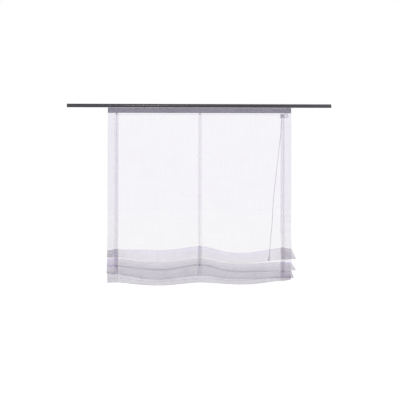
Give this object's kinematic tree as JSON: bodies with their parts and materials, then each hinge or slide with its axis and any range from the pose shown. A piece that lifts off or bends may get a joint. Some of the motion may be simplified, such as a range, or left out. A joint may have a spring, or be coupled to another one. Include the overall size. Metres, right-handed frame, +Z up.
{
  "type": "roman blind",
  "caption": "Sheer roman blind gathered in soft folds, hung from a round rod with an inner glider track, with lift cords and a cord lock.",
  "frame": {"origin": "mid-length of the rod, at the mouth of the bracket groove on its top", "axes": "+X along the rod to the viewer's right, +Y away from the room towards the window, +Z up"},
  "size_m": [1.44, 0.0781, 0.9852],
  "materials": {
    "rod": "anodised anthracite, satin",
    "end_cap": "satin, darker than the rod",
    "white_plastic": "natural white moulding",
    "clear_plastic": "milky moulding",
    "lock_plastic": "dark grey moulding",
    "steel": "bright",
    "brass": "knurled",
    "weight": "flexible weight cord",
    "header_tape": "dense woven tape",
    "voile": "sheer plain-weave voile",
    "lift_tape": "narrow woven tape",
    "cord": "braided cord"
  },
  "bodies": {
    "rail": {"rod": "rod", "end_cap_left": "end_cap", "end_cap_right": "end_cap", "track_stop_left": "white_plastic", "track_stop_right": "white_plastic", "glider_01": "white_plastic", "glider_02": "white_plastic", "glider_03": "white_plastic", "glider_04": "white_plastic", "glider_05": "white_plastic", "glider_06": "white_plastic", "glider_07": "white_plastic", "glider_08": "white_plastic", "glider_09": "white_plastic", "glider_10": "white_plastic", "glider_11": "white_plastic", "glider_12": "white_plastic", "header_tape": "header_tape", "cloth": "voile", "lift_tape_left": "lift_tape", "lift_tape_centre": "lift_tape", "lift_tape_right": "lift_tape", "lift_cord_left": "cord", "lift_cord_centre": "cord", "lift_cord_right": "cord", "cord_eye_left": "white_plastic", "cord_eye_centre": "white_plastic", "cord_lock_housing": "lock_plastic", "lock_guide_bar": "steel", "lock_turn_bar": "steel", "pull_cord": "cord"},
    "ring_row_1": {"ring_row_1": "white_plastic"},
    "ring_row_2": {"ring_row_2": "white_plastic"},
    "ring_row_3": {"ring_row_3": "white_plastic"},
    "stack": {"ring_row_4": "white_plastic", "ring_row_5": "white_plastic", "ring_row_6": "white_plastic", "cord_bead_left": "clear_plastic", "cord_bead_centre": "clear_plastic", "cord_bead_right": "clear_plastic", "hem_weight": "weight"},
    "pull": {"cord_pull": "clear_plastic"},
    "lock_roller": {"lock_roller": "brass"}
  },
  "joints": [
    {"name": "lift", "type": "slide", "parent": "rail", "child": "stack", "axis": [0, 0, 1], "range_m": [-0.37, 0.58], "deforming": ["cloth", "lift_tape_left", "lift_tape_centre", "lift_tape_right", "lift_cord_left", "lift_cord_centre", "lift_cord_right"]},
    {"name": "ring_row_1_slide", "type": "slide", "parent": "rail", "child": "ring_row_1", "axis": [0, 0, 1], "range_m": [-0.1305, 0.204]},
    {"name": "ring_row_2_slide", "type": "slide", "parent": "rail", "child": "ring_row_2", "axis": [0, 0, 1], "range_m": [-0.2304, 0.3606]},
    {"name": "ring_row_3_slide", "type": "slide", "parent": "rail", "child": "ring_row_3", "axis": [0, 0, 1], "range_m": [-0.3303, 0.5172]},
    {"name": "pull_slide", "type": "slide", "parent": "rail", "child": "pull", "axis": [0, 0, -1], "range_m": [-0.371, 0.581], "deforming": ["pull_cord"]},
    {"name": "lock_roller_slide", "type": "slide", "parent": "rail", "child": "lock_roller", "axis": [-0.45, 0, -0.893], "range_m": [0, 0.0035]}
  ],
  "couplings": [
    {"joint": "ring_row_1_slide", "follows": "lift", "ratio": 0.35},
    {"joint": "ring_row_2_slide", "follows": "lift", "ratio": 0.62},
    {"joint": "ring_row_3_slide", "follows": "lift", "ratio": 0.89},
    {"joint": "pull_slide", "follows": "lift", "ratio": 1}
  ]
}
